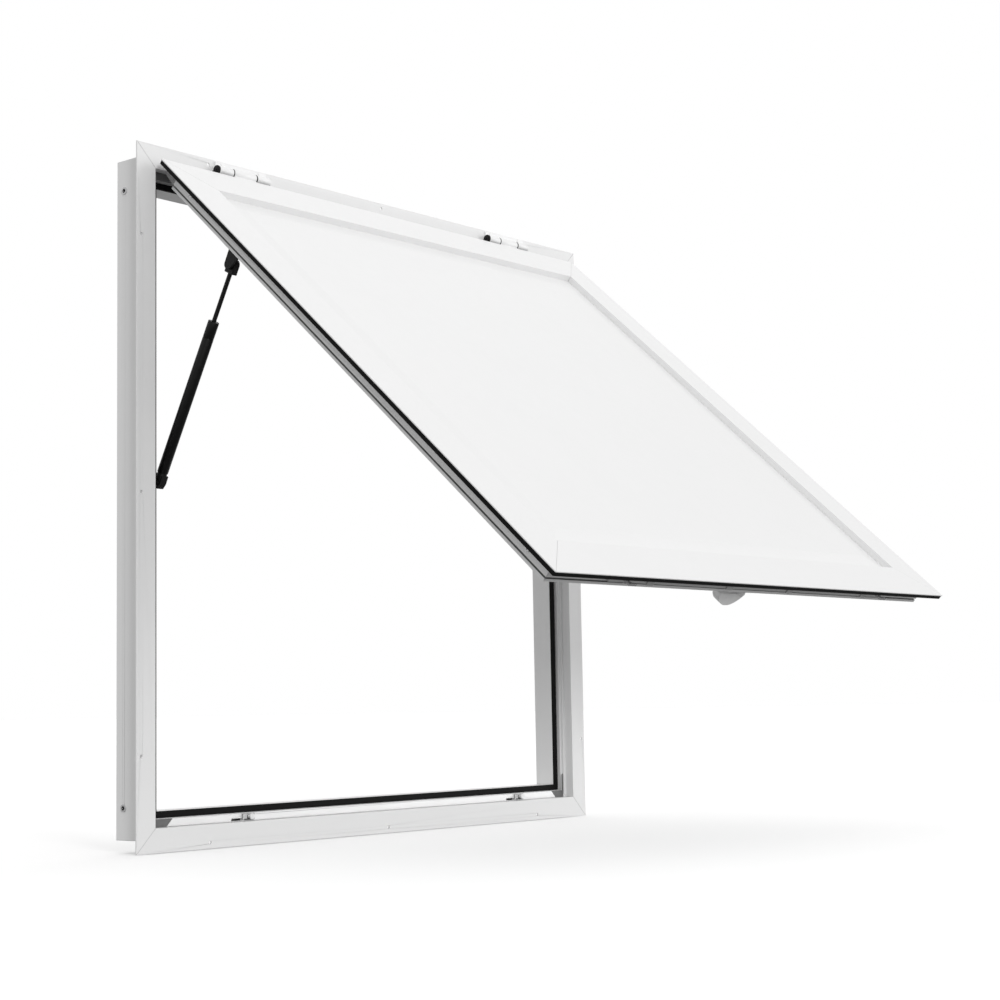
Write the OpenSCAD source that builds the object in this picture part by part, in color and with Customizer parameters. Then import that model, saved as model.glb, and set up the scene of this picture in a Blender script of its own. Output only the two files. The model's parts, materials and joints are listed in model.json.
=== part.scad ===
// Top-hung awning window: a flanged aluminium frame, a panelled sash on two barrel hinges,
// two gas struts, and a lever lock that slides two hooks behind keepers on the sill.
// Origin: centre of the opening, on the wall plane behind the flange.
// +X to the right seen from outside, +Y into the building, +Z up. The sash is drawn open.

/* [Frame] */
// Overall width of the flange
flange_w = 944; // [780:1:1400]
// Overall height of the flange
flange_h = 944; // [780:1:1400]
// Width of the flange face
flange_face = 32; // [30:1:36]
// Thickness of the flange
flange_t = 2; // [1.5:0.1:3]
// How far the box of the frame sits in from the flange edge
box_setback = 16; // [12:1:18]
// Depth of the box behind the wall plane
box_depth = 58.5; // [52:0.5:90]
// Wall thickness of the frame extrusion
frame_wall = 2; // [1.4:0.1:2.4]
// Depth of the first step behind the wall plane
step_depth = 13; // [11:0.5:15]
// Width of the first step
step_w = 5.5; // [4:0.5:7]
// Depth of the lip behind the first step
lip_drop = 4; // [3:0.5:5]
// Width of the lip
lip_w = 3.5; // [3:0.5:5]
// Distance of the clear opening from the flange edge
reveal = 52.5; // [52:0.5:58]
// Gap left at each mitred end
mitre_gap = 0.1; // [0.05:0.01:0.2]

/* [Flange screws] */
// Diameter of the flange screw holes
screw_hole_d = 4.5; // [3.5:0.1:5.5]
// Distance of the flange screw holes from the flange edge
screw_inset = 8; // [6:0.5:10]
// Distance of the end holes from the flange corners
screw_corner = 126; // [80:1:130]

/* [Seals] */
// Width of the black seal on the frame stop
frame_seal_w = 9; // [7:0.5:10]
// Thickness of the black seal on the frame stop
frame_seal_t = 3; // [2:0.1:4]
// Width of the seal under the sash lip
sash_seal_w = 7; // [5:0.5:9]
// Inset of that seal from the sash edge
sash_seal_inset = 0.8; // [0.5:0.1:2]
// Gap kept between a seal and the face it closes on
seal_gap = 0.3; // [0.2:0.05:0.5]

/* [Sash] */
// Distance of the sash edge from the flange edge
sash_margin = 27.8; // [26:0.1:29]
// Width of the sash face frame
sash_face = 60.6; // [58:0.1:66]
// Thickness of the sash face lip
sash_lip_t = 1.5; // [1.3:0.1:3]
// Overall depth of the sash extrusion
sash_depth = 30; // [28:0.5:34]
// Distance of the closed sash face from the wall plane
sash_proud = 10; // [9:0.1:11]
// Inset of the sash box from the sash edge
sash_box_inset = 21; // [20:0.5:22]
// Wall thickness of the sash extrusion
sash_wall = 2; // [1.5:0.1:2.4]
// Angle at which the struts hold the sash open
open_angle = 48.2; // [30:0.1:60]

/* [Panel] */
// Depth of the recess around the panel
recess_depth = 9.4; // [8:0.1:11]
// Height of the raised field above the panel edge
field_rise = 3.4; // [2:0.1:5]
// Width of the bevel around the raised field
bevel_w = 32; // [20:1:45]
// Overall thickness of the panel edge
panel_t = 12; // [10:0.5:14]
// Thickness of the panel skins
skin_t = 1.5; // [1:0.1:2]
// How far the panel enters the sash rails
panel_bite = 9; // [6:0.5:9]

/* [Hinges] */
// Outside diameter of the hinge barrel
barrel_d = 13; // [11:0.5:14]
// Distance of the hinge axis below the flange top
hinge_drop = 15; // [14:0.5:17]
// Distance of each hinge from the side of the flange
hinge_inset = 137; // [130:1:200]
// Length of each outer knuckle
outer_knuckle = 25; // [20:1:32]
// Length of the middle knuckle
middle_knuckle = 41; // [30:1:60]
// Thickness of the washer between knuckles
washer_t = 2; // [0.8:0.1:2.4]
// Diameter of the hinge pin
pin_d = 6; // [5:0.5:7]
// Radial clearance of the moving knuckle on its pin
pin_clear = 0.06; // [0.02:0.01:0.1]
// Thickness of the hinge leaves
leaf_t = 2.3; // [1.5:0.1:2.4]

/* [Gas struts] */
// Distance of each strut from the side of the flange
strut_inset = 66; // [64:0.5:72]
// Distance of the lower pivot below the flange top
lower_pivot_drop = 452.5; // [420:0.5:460]
// Distance of the lower pivot behind the wall plane
lower_pivot_y = 31; // [31:0.5:42]
// Distance of the upper pivot down the sash
upper_pivot_down = 177; // [160:1:185]
// Distance of the upper pivot behind the sash
upper_pivot_off = 19.5; // [18:0.5:22]
// Diameter of the strut cylinder
cylinder_d = 15; // [13:0.5:16]
// Diameter of the strut rod
rod_d = 6; // [5:0.5:8]
// Length of rod that shows with the sash open
rod_shown = 68; // [66:1:76]
// Diameter of the ball on the lower stud
ball_d = 10; // [8:0.5:10]

/* [Lock] */
// Distance of the left keeper from the left flange edge
keeper_left_in = 206.5; // [190:0.5:260]
// Distance of the right keeper from the right flange edge
keeper_right_in = 156; // [140:1:200]
// Module of the lock gear
gear_module = 1.2; // [1.2:0.1:1.2]
// Teeth on the lock pinion
pinion_teeth = 17; // [17:1:17]
// Turn of the lever from open to locked
lever_turn = 90; // [60:1:90]
// Distance of the lever spindle up from the sash bottom
spindle_up = 34.8; // [34.5:0.1:35.2]
// Length of the lever from its spindle
lever_len = 50; // [40:1:60]
// Height of the lever above the sash
lever_proud = 27; // [20:1:32]
// Diameter of the neck of each keeper stud
stud_d = 5; // [4:0.5:5.5]
// Height of the strip along the sill
strip_h = 10.5; // [9:0.5:10.5]
// Thickness of the strip along the sill
strip_t = 1.5; // [1:0.1:2]

/* [Hidden] */

$fn = 48;
eps = 0.01;
slack = 0.1;
press = 0.02;
moving_gap = 0.3;

white = [0.93, 0.93, 0.93];
grey = [0.72, 0.72, 0.72];
dark_grey = [0.32, 0.32, 0.33];
black = [0.06, 0.06, 0.06];
zinc = [0.78, 0.78, 0.80];

// Steps of the frame section, as distances in from the flange edge and behind the wall plane
step_in = flange_face + step_w;
lip_in = step_in + lip_w;
lip_depth = step_depth + lip_drop;
sash_back_y = sash_depth - sash_proud;
stop_depth = sash_back_y + seal_gap + frame_seal_t;

// Sash size, and its box wall measured from the sash edge
sash_w = flange_w - 2 * sash_margin;
sash_h = flange_h - 2 * sash_margin;
groove_from = 24;
groove_to = 26;
groove_deep = 2;
jog_v = groove_from - sash_wall;
side_in = sash_box_inset + groove_deep;
slot_from = recess_depth - 0.05;
slot_to = recess_depth + panel_t + 0.15;
slot_in = sash_face - panel_bite - 1;
chamber_in = slot_in - sash_wall;

// Hinge axis and barrel
hinge_y = -(flange_t + moving_gap + barrel_d / 2);
hinge_z = flange_h / 2 - hinge_drop;
hinge_len = 2 * outer_knuckle + middle_knuckle + 2 * washer_t;
hinge_x = flange_w / 2 - hinge_inset - hinge_len / 2;
cap_t = 2.2;
knuckle_end_t = 2;

// Strut pivots: [y, z], closed and open, and the strut between them
lower_pivot = [lower_pivot_y, flange_h / 2 - lower_pivot_drop];
upper_closed = [sash_back_y + upper_pivot_off, sash_h / 2 - upper_pivot_down];
upper_arm = upper_closed - [hinge_y, hinge_z];
upper_open = [
  hinge_y + upper_arm[0] * cos(open_angle) + upper_arm[1] * sin(open_angle),
  hinge_z - upper_arm[0] * sin(open_angle) + upper_arm[1] * cos(open_angle)
];
strut_open = norm(upper_open - lower_pivot);
strut_lean = atan2(lower_pivot[0] - upper_open[0], upper_open[1] - lower_pivot[1]);
strut_x = flange_w / 2 - strut_inset;
socket_h = 14;
upper_socket_h = 12;
cylinder_len = strut_open - socket_h - upper_socket_h - rod_shown;
cylinder_wall = 1.5;
guide_len = 12;
piston_len = 10;
ring_down = 24;
ring_w = 1.2;
ring_deep = 0.6;

// Lock: the bar runs in front of the lower sash wall and the rack stands above the pinion
pitch_r = gear_module * pinion_teeth / 2;
travel = pitch_r * lever_turn * PI / 180;
bar_in = 16.5;
bar_t = 4;
bar_v = 11;
bar_h = 11;
hook_v = 15;
hook_t = 3;
spindle_x = -6;
keeper_left_x = -flange_w / 2 + keeper_left_in;
keeper_right_x = flange_w / 2 - keeper_right_in;
hook_left_x = keeper_left_x - travel;
hook_right_x = keeper_right_x - travel;
stud_in = 38.5;
stud_head_d = stud_d + 3;
stud_head_t = 2;
stud_shank_d = stud_d * 0.8;
hook_clear = 0.5;
strip_in = flange_face + 0.3;
strip_y = step_depth - strip_t;
strip_end_in = 62;
plate_t = 1;
plate_half = 11;
slot_len = 19;
slot_h = 3.5;
slot_rise = 0.8;
hook_y = hook_v - sash_proud;
rack_v = 17;
rack_t = 2.5;
tooth_v = 10.2;
tooth_w = 5.6;
backlash = 0.3;

// ---------- shared helpers ----------

// Draws a section given as [depth, distance in] along X, centred, rising in +Z.
module along_x(len) {
  rotate([90, 0, 90])
    translate([0, 0, -len / 2])
      linear_extrude(len)
        children();
}

// Wedge that cuts both ends of a rail at 45 degrees.
module mitre_mask(len, reach, near, far) {
  translate([0, far, 0])
    rotate([90, 0, 0])
      linear_extrude(far - near)
        polygon([
          [-len / 2 + mitre_gap, 0],
          [len / 2 - mitre_gap, 0],
          [len / 2 - reach - mitre_gap, reach],
          [-len / 2 + reach + mitre_gap, reach]
        ]);
}

// A mitred length of a section, lying along X with its outer edge at Z 0.
module mitred(len, reach, near, far) {
  intersection() {
    along_x(len) children();
    mitre_mask(len, reach, near, far);
  }
}

// Puts a piece drawn at the bottom on one side of a w by h rectangle.
module on_bottom(h) {
  translate([0, 0, -h / 2]) children();
}
module on_top(h) {
  translate([0, 0, h / 2]) rotate([0, 180, 0]) children();
}
module on_left(w) {
  translate([-w / 2, 0, 0]) rotate([0, 90, 0]) children();
}
module on_right(w) {
  translate([w / 2, 0, 0]) rotate([0, -90, 0]) children();
}
// Carries what is drawn in the closed position to the open one.
module swung_open() {
  translate([0, hinge_y, hinge_z])
    rotate([-open_angle, 0, 0])
      translate([0, -hinge_y, -hinge_z])
        children();
}

// Sash space: Y is the depth from the outer face, the origin is the sash centre.
module in_sash() {
  swung_open() translate([0, -sash_proud, 0]) children();
}

// Round bar along Y from y0 to y1.
module round_y(d, y0, y1) {
  translate([0, y0, 0]) rotate([-90, 0, 0]) cylinder(d = d, h = y1 - y0);
}

// Round bar along X from x0 to x1.
module round_x(d, x0, x1) {
  translate([x0, 0, 0]) rotate([0, 90, 0]) cylinder(d = d, h = x1 - x0);
}

// Box between two corners.
module block(a, b) {
  translate(a) cube(b - a);
}

// Section rectangle: depth y0 to y1, distance in a0 to a1.
module patch(y0, y1, a0, a1) {
  translate([y0, a0]) square([y1 - y0, a1 - a0]);
}

// ---------- frame ----------

module frame_section() {
  w = frame_wall;
  patch(-flange_t, 0, 0, flange_face);
  patch(-eps, box_depth, box_setback, box_setback + w);
  patch(-eps, step_depth + w, flange_face - w, flange_face);
  patch(step_depth, step_depth + w, flange_face - w, step_in);
  patch(step_depth, lip_depth + w, step_in - w, step_in);
  patch(lip_depth, lip_depth + w, step_in - w, lip_in);
  patch(lip_depth, stop_depth + w, lip_in - w, lip_in);
  patch(stop_depth, stop_depth + w, lip_in - w, reveal);
  patch(stop_depth, box_depth, reveal - w, reveal);
  patch(box_depth - w, box_depth, box_setback, reveal);
}

// One frame rail with its three flange screw holes.
module frame_rail(len) {
  color(white)
    difference() {
      mitred(len, reveal, -flange_t, box_depth) frame_section();
      for (x = [-(len / 2 - screw_corner), 0, len / 2 - screw_corner])
        translate([x, 0, screw_inset])
          round_y(screw_hole_d, -flange_t - 1, 1);
      children();
    }
}

corner_screw_d = 5;
corner_screw_in = 58;
corner_screw_y = 43.5;

module corner_screw_holes(d) {
  for (x = [-(flange_h / 2 - corner_screw_in), flange_h / 2 - corner_screw_in])
    translate([x, corner_screw_y, box_setback - 1])
      cylinder(d = d, h = frame_wall + 2);
}

// Screws that hold a lower strut bracket, on the inner face of a jamb.
bracket_screw_d = 4;
bracket_screw_gap = 28;

module strut_frame_holes(toward_top) {
  for (s = [-1, 1])
    translate([toward_top * (lower_pivot[1] + s * bracket_screw_gap / 2), lower_pivot_y, reveal - frame_wall - 1])
      cylinder(d = bracket_screw_d + 2 * slack, h = frame_wall + 2);
}

// Rivet holes of the frame hinge leaves, in the flange.
rivet_d = 3;
rivet_head_d = 5;
rivet_head_t = 0.8;
leaf_rise = 10.5;
leaf_foot = 7.2;
leaf_top = 13;

module frame_rivet_spots() {
  for (s = [-1, 1])
    for (e = [-1, 1])
      translate([s * hinge_x + e * (hinge_len / 2 - outer_knuckle / 2), 0, 0])
        children();
}

module frame_head() {
  on_top(flange_h)
    frame_rail(flange_w)
      frame_rivet_spots()
        translate([0, 0, hinge_drop - leaf_rise])
          round_y(rivet_d + 2 * slack, -flange_t - 1, 1);
}

// Entry slot beside a keeper, drawn at the bottom of the frame.
module keeper_slots() {
  for (x = [keeper_left_x, keeper_right_x])
    translate([x - plate_half - 0.5 - slot_len, step_depth - strip_t - 1, strip_in + slot_rise])
      cube([slot_len, strip_t + frame_wall + 2, slot_h]);
}

module frame_sill() {
  on_bottom(flange_h) frame_rail(flange_w) keeper_slots();
}

module frame_jamb_left() {
  on_left(flange_w)
    frame_rail(flange_h) {
      corner_screw_holes(corner_screw_d + 2 * slack);
      strut_frame_holes(-1);
    }
}

module frame_jamb_right() {
  on_right(flange_w)
    frame_rail(flange_h) {
      corner_screw_holes(corner_screw_d + 2 * slack);
      strut_frame_holes(1);
    }
}

// L-shaped key in the box chamber at each corner, tapped for the jamb screw.
key_leg = 62;
key_fit = 0.3;

module at_corners(w, h) {
  for (sx = [0, 1])
    for (sz = [0, 1])
      mirror([sx, 0, 0])
        mirror([0, 0, sz])
          translate([-w / 2, 0, -h / 2])
            children();
}

module frame_key() {
  a0 = box_setback + frame_wall + key_fit;
  a1 = reveal - frame_wall - key_fit;
  y0 = stop_depth + frame_wall + key_fit;
  y1 = box_depth - frame_wall - key_fit;
  difference() {
    union() {
      block([a0, y0, a0], [a1, y1, a0 + key_leg]);
      block([a0, y0, a0], [a0 + key_leg, y1, a1]);
    }
    translate([a0 - 1, corner_screw_y, corner_screw_in])
      rotate([0, 90, 0])
        cylinder(d = corner_screw_d + 2 * slack, h = 16);
  }
}

module frame_corner_keys() {
  color(grey) at_corners(flange_w, flange_h) frame_key();
}

// Pan-headed screw with a cross recess, drawn along +Z with its seat at Z 0.
module pan_screw(d, head_d, head_h, len) {
  recess_h = 0.8;
  difference() {
    union() {
      translate([0, 0, -head_h]) cylinder(d = head_d, h = head_h);
      translate([0, 0, -eps]) cylinder(d = d, h = len);
    }
    for (a = [0, 90])
      rotate(a)
        block([-head_d * 0.3, -head_d * 0.08, -head_h - 1], [head_d * 0.3, head_d * 0.08, recess_h]);
  }
}

module frame_corner_screws() {
  color(zinc)
    at_corners(flange_w, flange_h)
      translate([box_setback, corner_screw_y, corner_screw_in])
        rotate([0, 90, 0])
          pan_screw(corner_screw_d, 10, 1.1, 14);
}

// Rounded strip of seal, as a section.
module frame_seal_section() {
  r = 0.8;
  patch(stop_depth - frame_seal_t + r, stop_depth, reveal - frame_seal_w, reveal);
  patch(stop_depth - frame_seal_t, stop_depth, reveal - frame_seal_w + r, reveal - r);
  for (a = [reveal - frame_seal_w + r, reveal - r])
    translate([stop_depth - frame_seal_t + r, a]) circle(r);
}

module frame_seal() {
  color(black) {
    for (s = [0, 1]) {
      mirror([0, 0, s])
        on_bottom(flange_h)
          mitred(flange_w, reveal, 0, stop_depth) frame_seal_section();
      mirror([s, 0, 0])
        on_left(flange_w)
          mitred(flange_h, reveal, 0, stop_depth) frame_seal_section();
    }
  }
}

// Strip along the sill, with 45 degree ends and an entry slot beside each keeper.

module sill_strip() {
  color(grey)
    difference() {
      translate([0, step_depth - eps * 2, -flange_h / 2])
        rotate([90, 0, 0])
          linear_extrude(strip_t)
            polygon([
              [-flange_w / 2 + strip_end_in, strip_in],
              [flange_w / 2 - strip_end_in, strip_in],
              [flange_w / 2 - strip_end_in - strip_h, strip_in + strip_h],
              [-flange_w / 2 + strip_end_in + strip_h, strip_in + strip_h]
            ]);
      on_bottom(flange_h) {
        keeper_slots();
        for (x = [keeper_left_x, keeper_right_x])
          translate([x, 0, stud_in])
            round_y(stud_shank_d + 2 * slack, 0, step_depth + 1);
      }
    }
}

// Dark moulded block that closes the channel in each corner.
block_rise = 70;

module corner_block() {
  y1 = step_depth - 2 * eps;
  y0 = step_depth - strip_t;
  g = moving_gap;
  translate([0, y1, 0])
    rotate([90, 0, 0])
      linear_extrude(y1 - y0)
        polygon([
          [lip_in + g, strip_in],
          [strip_end_in - g, strip_in],
          [strip_end_in + strip_h - g, strip_in + strip_h],
          [lip_in + 2.3, strip_in + strip_h],
          [lip_in + 2.3, block_rise - 2],
          [lip_in + g, block_rise]
        ]);
}

module corner_blocks() {
  color(dark_grey) at_corners(flange_w, flange_h) corner_block();
}

// Keeper plate on the strip, bored for the stud.
plate_low = 1;
plate_high = 10;

module keeper(x) {
  y_back = strip_y - 2 * eps;
  color(zinc)
    translate([x, 0, -flange_h / 2])
      difference() {
        block([-plate_half, y_back - plate_t, strip_in + plate_low], [plate_half, y_back, strip_in + plate_high]);
        translate([0, 0, stud_in])
          round_y(stud_shank_d + 2 * slack, y_back - plate_t - 1, y_back + 1);
      }
}

module keeper_left() {
  keeper(keeper_left_x);
}
module keeper_right() {
  keeper(keeper_right_x);
}

// Headed stud that the hook slides behind, with a thin footed base against the plate.
stud_foot_half = 8;
stud_foot_h = 1.8;
stud_base_t = 0.8;

module keeper_studs() {
  y_seat = strip_y - plate_t - 3 * eps;
  foot = strip_in + plate_low;
  color(black)
    for (x = [keeper_left_x, keeper_right_x])
      translate([x, 0, -flange_h / 2]) {
        translate([0, 0, stud_in]) {
          round_y(stud_d, hook_y - hook_clear - eps, y_seat);
          round_y(stud_head_d, hook_y - hook_clear - stud_head_t, hook_y - hook_clear);
          round_y(stud_shank_d, y_seat - eps, step_depth - 3 * eps);
        }
        block([-stud_foot_half, y_seat - stud_base_t, foot], [stud_foot_half, y_seat, foot + stud_foot_h]);
        block([-stud_d / 2, y_seat - stud_base_t, foot], [stud_d / 2, y_seat, stud_in]);
      }
}

// ---------- hinges ----------

// Both hinges: the second is the mirror image of the first.
module hinge_at(side) {
  translate([side * hinge_x, hinge_y, hinge_z]) children();
}

module frame_leaf(side) {
  y_back = -hinge_y - flange_t;
  end = hinge_len / 2;
  mid = middle_knuckle / 2 + washer_t;
  color(white)
    hinge_at(side)
      difference() {
        union() {
          for (s = [-1, 1])
            round_x(barrel_d, s > 0 ? mid : -end, s > 0 ? end : -mid);
          for (s = [0, 1])
            mirror([s, 0, 0])
              block([mid, y_back - leaf_t, 0], [end, y_back, leaf_top]);
          block([-end, y_back - leaf_t, leaf_foot], [end, y_back, leaf_top]);
        }
        round_x(pin_d + 2 * press, -end - 1, end - knuckle_end_t);
        for (e = [-1, 1])
          translate([e * (end - outer_knuckle / 2), 0, leaf_rise])
            round_y(rivet_d + 2 * slack, y_back - leaf_t - 1, y_back + 1);
      }
}

module hinge_frame_leaf_left() {
  frame_leaf(-1);
}
module hinge_frame_leaf_right() {
  frame_leaf(1);
}

module hinge_pin(side) {
  color(zinc) hinge_at(side) round_x(pin_d, -hinge_len / 2, hinge_len / 2 - knuckle_end_t - slack);
}
module hinge_pin_left() {
  hinge_pin(-1);
}
module hinge_pin_right() {
  hinge_pin(1);
}

// Black plug on the open end of each barrel, with a raised ring and a small tab beside the flange.
tab_d = 4;
tab_out = 3;

module cap() {
  difference() {
    union() {
      round_x(barrel_d, -cap_t, 0);
      round_x(barrel_d * 0.5, -cap_t - 0.6, 0);
      translate([0, barrel_d / 2 - tab_d / 2, -3]) round_x(tab_d, -cap_t - tab_out, 0);
    }
    round_x(barrel_d * 0.22, -cap_t - 1, -cap_t + 0.8);
  }
}

module hinge_caps() {
  color(black)
    for (side = [-1, 1])
      hinge_at(side)
        translate([-hinge_len / 2 - 2 * eps, 0, 0])
          cap();
}

module hinge_washers() {
  mid = middle_knuckle / 2;
  color(black)
    for (side = [-1, 1])
      hinge_at(side)
        for (s = [0, 1])
          mirror([s, 0, 0])
            difference() {
              round_x(barrel_d - press, mid + slack, mid + washer_t - press);
              round_x(pin_d + 2 * slack, mid - 1, mid + washer_t + 1);
            }
}

module hinge_frame_rivets() {
  y_leaf = -flange_t - leaf_t;
  color(white)
    frame_rivet_spots()
      translate([0, 0, hinge_z + leaf_rise]) {
        round_y(rivet_head_d, y_leaf - rivet_head_t, y_leaf - eps);
        round_y(rivet_d, y_leaf - 2 * eps, -eps);
      }
}

// Moving knuckle with a leaf that runs down behind the sash lip.
sash_leaf_in = 19;
sash_leaf_v = sash_lip_t + press;
sash_rivet_in = 12;
sash_rivet_half_gap = 12;
sash_rivet_bite = 1;

module sash_leaf(side) {
  front = -sash_proud + sash_leaf_v;
  low = sash_h / 2 - sash_leaf_in;
  color(white)
    swung_open()
      difference() {
        union() {
          hinge_at(side) round_x(barrel_d, -middle_knuckle / 2, middle_knuckle / 2);
          translate([side * hinge_x, 0, 0])
            block(
              [-middle_knuckle / 2, front, low],
              [middle_knuckle / 2, front + leaf_t, hinge_z]
            );
        }
        hinge_at(side)
          round_x(pin_d + 2 * pin_clear, -middle_knuckle / 2 - 1, middle_knuckle / 2 + 1);
        for (s = [-1, 1])
          translate([side * hinge_x + s * sash_rivet_half_gap, 0, sash_h / 2 - sash_rivet_in])
            round_y(rivet_d + 2 * slack, front - 1, front + leaf_t + 1);
      }
}

module hinge_sash_leaf_left() {
  sash_leaf(-1);
}
module hinge_sash_leaf_right() {
  sash_leaf(1);
}

// Blind rivets up into the sash lip, from behind the leaf.
module sash_rivet_spots() {
  for (side = [-1, 1])
    for (s = [-1, 1])
      translate([side * hinge_x + s * sash_rivet_half_gap, 0, sash_h / 2 - sash_rivet_in])
        children();
}

module hinge_sash_rivets() {
  back = sash_leaf_v + leaf_t;
  color(white)
    in_sash()
      sash_rivet_spots() {
        round_y(rivet_d, sash_lip_t - sash_rivet_bite, back + 2 * eps);
        round_y(rivet_head_d, back + eps, back + rivet_head_t);
      }
}

// ---------- sash ----------

module sash_section() {
  w = sash_wall;
  b = sash_box_inset;
  patch(0, sash_lip_t, 0, sash_face);
  patch(sash_lip_t - eps, groove_from, b, b + w);
  patch(jog_v, groove_from, b, side_in + w);
  patch(jog_v, sash_depth, side_in, side_in + w);
  patch(groove_to, sash_depth, b, side_in + w);
  patch(sash_depth - w, sash_depth, b, sash_face);
  patch(0, slot_from, sash_face - w, sash_face);
  patch(slot_from - w, slot_from, slot_in - w, sash_face);
  patch(slot_from - w, sash_depth, slot_in - w, slot_in);
  patch(slot_to, slot_to + w, slot_in - w, sash_face);
  patch(slot_to, sash_depth, sash_face - w, sash_face);
}

module sash_rail(len) {
  color(white)
    difference() {
      mitred(len, sash_face, 0, sash_depth) sash_section();
      children();
    }
}

sash_screw_d = 4;
sash_screw_in = 62;
sash_screw_v = 15;

module sash_screw_holes() {
  for (x = [-(sash_h / 2 - sash_screw_in), sash_h / 2 - sash_screw_in])
    translate([x, sash_screw_v, sash_box_inset - 1])
      cylinder(d = sash_screw_d + 2 * slack, h = sash_wall + 2);
}

strut_face_in = strut_inset - sash_margin;
pad_gap = 30;

// Screws of a sash strut bracket, along a stile: the bracket sits below the top edge.
module strut_sash_holes(toward_top) {
  for (s = [-1, 1])
    translate([
      toward_top * (upper_closed[1] + s * pad_gap / 2),
      sash_depth - sash_wall - 1,
      strut_face_in
    ])
      rotate([-90, 0, 0])
        cylinder(d = bracket_screw_d + 2 * slack, h = sash_wall + 2);
}

module sash_top_rail() {
  in_sash()
    on_top(sash_h)
      sash_rail(sash_w)
        for (side = [-1, 1])
          for (s = [-1, 1])
            translate([side * hinge_x + s * sash_rivet_half_gap, 0, sash_rivet_in])
              round_y(rivet_d + 2 * slack, sash_lip_t - sash_rivet_bite - slack, sash_lip_t + 1);
}

rack_half = 30;

// Slot for the rack in the outer wall, and the spindle hole in the inner wall.
module sash_bottom_rail() {
  in_sash()
    on_bottom(sash_h)
      sash_rail(sash_w) {
        block(
          [spindle_x - rack_half - 3, rack_v - 0.4, sash_box_inset - 1],
          [spindle_x + rack_half + travel + 3, rack_v + rack_t + 0.4, side_in + sash_wall + 1]
        );
        translate([spindle_x, 0, spindle_up])
          round_y(spindle_d + 2 * pin_clear, sash_depth - sash_wall - 1, sash_depth + 1);
        for (x = handle_screw_xs)
          translate([x, 0, handle_screw_up])
            round_y(handle_screw_d + 2 * slack, sash_depth - sash_wall - 1, sash_depth + 1);
      }
}

module sash_stile_left() {
  in_sash()
    on_left(sash_w)
      sash_rail(sash_h) {
        sash_screw_holes();
        strut_sash_holes(-1);
      }
}

module sash_stile_right() {
  in_sash()
    on_right(sash_w)
      sash_rail(sash_h) {
        sash_screw_holes();
        strut_sash_holes(1);
      }
}

module sash_key() {
  a0 = side_in + sash_wall + key_fit;
  a1 = chamber_in - key_fit;
  y0 = sash_lip_t + key_fit;
  y1 = jog_v - key_fit;
  difference() {
    union() {
      block([a0, y0, a0], [a1, y1, a0 + 50]);
      block([a0, y0, a0], [a0 + 50, y1, a1]);
    }
    translate([a0 - 1, sash_screw_v, sash_screw_in])
      rotate([0, 90, 0])
        cylinder(d = sash_screw_d + 2 * slack, h = 12);
  }
}

module sash_corner_keys() {
  color(grey) in_sash() at_corners(sash_w, sash_h) sash_key();
}

module sash_corner_screws() {
  color(zinc)
    in_sash()
      at_corners(sash_w, sash_h)
        translate([sash_box_inset - eps, sash_screw_v, sash_screw_in])
          rotate([0, 90, 0])
            pan_screw(sash_screw_d, 7.5, 1.8, 11);
}

// Seal under the lip, cut away where the hinge leaves pass.
module sash_seal_section() {
  back = sash_proud - flange_t - seal_gap;
  in = sash_seal_inset;
  r = 1.2;
  patch(sash_lip_t + press, back - r, in, in + sash_seal_w);
  patch(sash_lip_t + press, back, in + r, in + sash_seal_w - r);
  for (a = [in + r, in + sash_seal_w - r])
    translate([back - r, a]) circle(r);
}

module sash_seal() {
  reach = sash_seal_inset + sash_seal_w;
  color(black)
    in_sash()
      difference() {
        union() {
          on_bottom(sash_h) mitred(sash_w, reach, 0, sash_proud) sash_seal_section();
          on_top(sash_h) mitred(sash_w, reach, 0, sash_proud) sash_seal_section();
          on_left(sash_w) mitred(sash_h, reach, 0, sash_proud) sash_seal_section();
          on_right(sash_w) mitred(sash_h, reach, 0, sash_proud) sash_seal_section();
        }
        for (side = [-1, 1])
          translate([side * hinge_x, 0, sash_h / 2])
            block(
              [-middle_knuckle / 2 - 0.5, 0, -reach - 1],
              [middle_knuckle / 2 + 0.5, sash_proud, 1]
            );
      }
}

// ---------- panel ----------

panel_in = sash_face - panel_bite;
panel_w = sash_w - 2 * panel_in;
panel_h = sash_h - 2 * panel_in;
field_w = sash_w - 2 * (sash_face + bevel_w);
field_h = sash_h - 2 * (sash_face + bevel_w);

// Flat-topped bevel, its foot at depth v and its top field_rise nearer the outside.
module bevel(v, grow) {
  foot_w = sash_w - 2 * sash_face + grow;
  foot_h = sash_h - 2 * sash_face + grow;
  hull() {
    translate([-foot_w / 2, v - 0.02, -foot_h / 2]) cube([foot_w, 0.02, foot_h]);
    translate([-field_w / 2, v - field_rise, -field_h / 2]) cube([field_w, 0.02, field_h]);
  }
}

module panel_outer_skin() {
  v = recess_depth;
  color(white)
    in_sash()
      difference() {
        union() {
          translate([-panel_w / 2, v, -panel_h / 2]) cube([panel_w, skin_t, panel_h]);
          bevel(v + 0.02, -0.6);
        }
        bevel(v + skin_t + 0.01, -2.6);
      }
}

spacer_w = 14;

module panel_spacer() {
  v0 = recess_depth + skin_t + 0.02;
  v1 = recess_depth + panel_t - skin_t - 0.02;
  inner_w = panel_w - 2 * spacer_w;
  inner_h = panel_h - 2 * spacer_w;
  color(grey)
    in_sash()
      difference() {
        translate([-panel_w / 2, v0, -panel_h / 2]) cube([panel_w, v1 - v0, panel_h]);
        translate([-inner_w / 2, v0 - 1, -inner_h / 2]) cube([inner_w, v1 - v0 + 2, inner_h]);
      }
}

module panel_inner_skin() {
  v0 = recess_depth + panel_t - skin_t;
  color(white)
    in_sash()
      translate([-panel_w / 2, v0, -panel_h / 2])
        cube([panel_w, skin_t, panel_h]);
}

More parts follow.
